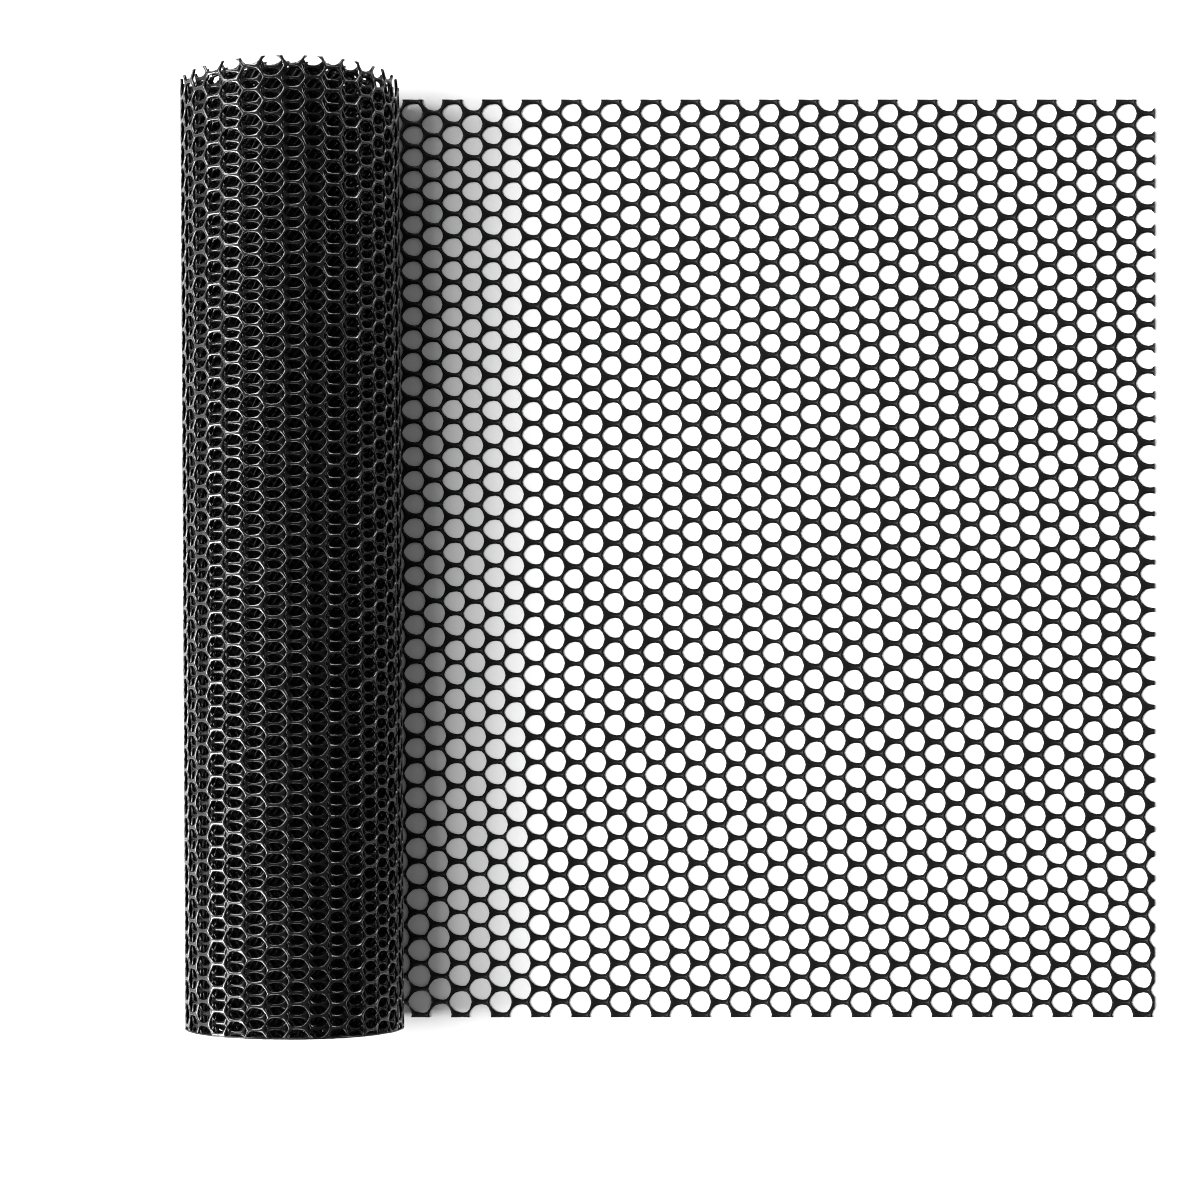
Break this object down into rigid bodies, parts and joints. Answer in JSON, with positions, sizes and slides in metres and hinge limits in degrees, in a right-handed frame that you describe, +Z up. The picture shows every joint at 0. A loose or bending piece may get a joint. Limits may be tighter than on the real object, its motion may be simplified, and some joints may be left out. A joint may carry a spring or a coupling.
{
  "type": "roll of mesh fencing",
  "caption": "Roll of black plastic mesh fencing on its side, wound hollow, with its loose end unrolled flat on the floor as a hexagonal net.",
  "frame": {"origin": "middle of the part's bounding box, on the floor that the roll and its loose end lie on", "axes": "+X from the roll along the loose end to its cut end, +Y along the roll's axis, across the net, +Z up"},
  "size_m": [0.4182, 0.4, 0.0928],
  "materials": {
    "black_plastic": "half glossy extruded plastic"
  },
  "bodies": {
    "root": {"wound_roll": "black_plastic", "loose_end": "black_plastic"}
  },
  "joints": []
}
